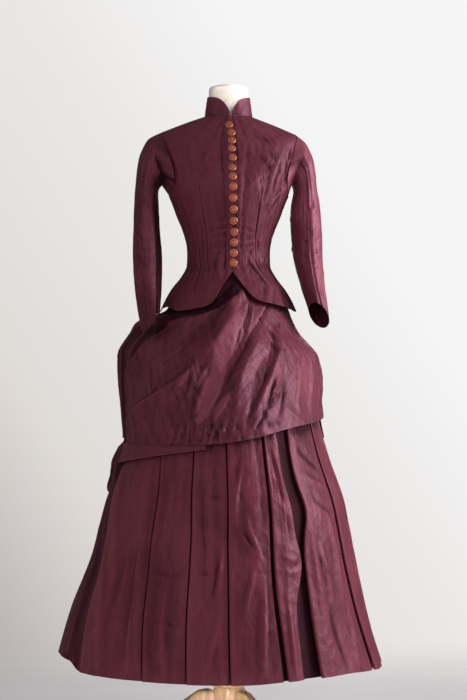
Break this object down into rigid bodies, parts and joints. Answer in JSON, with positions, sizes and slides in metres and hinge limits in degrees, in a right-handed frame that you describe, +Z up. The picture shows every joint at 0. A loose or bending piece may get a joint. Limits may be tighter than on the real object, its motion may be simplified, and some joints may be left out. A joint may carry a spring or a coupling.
{
  "type": "bustle dress on a dress form",
  "caption": "Button-front bodice with a pointed basque, draped apron overskirt, bustle puffs and a pleated full-length underskirt, on a limbless padded form on a wooden tripod.",
  "frame": {"origin": "on the floor, under the middle of the outline seen from above", "axes": "+Z up, -Y towards the front of the dress, +X towards the wearer's left"},
  "size_m": [0.8238, 0.8275, 1.702],
  "materials": {
    "bodice_taffeta": "satin",
    "collar_taffeta": "satin",
    "sleeve_taffeta": "satin",
    "skirt_taffeta": "satin",
    "puff_taffeta": "satin",
    "apron_taffeta": "satin",
    "button_copper": "satin",
    "form_cover": "matte",
    "pole_steel": "satin",
    "stand_wood": "satin"
  },
  "bodies": {
    "root": {"bodice_front_right": "bodice_taffeta", "bodice_front_left": "bodice_taffeta", "bodice_side_right": "bodice_taffeta", "bodice_side_left": "bodice_taffeta", "bodice_back_right": "bodice_taffeta", "bodice_back_left": "bodice_taffeta", "collar": "collar_taffeta", "sleeve_upper_right": "sleeve_taffeta", "sleeve_under_right": "sleeve_taffeta", "sleeve_upper_left": "sleeve_taffeta", "sleeve_under_left": "sleeve_taffeta", "button_01": "button_copper", "button_02": "button_copper", "button_03": "button_copper", "button_04": "button_copper", "button_05": "button_copper", "button_06": "button_copper", "button_07": "button_copper", "button_08": "button_copper", "button_09": "button_copper", "button_10": "button_copper", "button_11": "button_copper", "button_12": "button_copper", "button_13": "button_copper", "button_14": "button_copper", "button_15": "button_copper", "underskirt_front": "skirt_taffeta", "underskirt_right": "skirt_taffeta", "underskirt_left": "skirt_taffeta", "underskirt_back": "skirt_taffeta", "bustle_puff_upper": "puff_taffeta", "bustle_puff_lower": "puff_taffeta", "apron": "apron_taffeta", "apron_band": "apron_taffeta", "form_body": "form_cover", "form_pole": "pole_steel", "form_hub": "stand_wood", "form_leg_1": "stand_wood", "form_leg_2": "stand_wood", "form_leg_3": "stand_wood"}
  },
  "joints": []
}
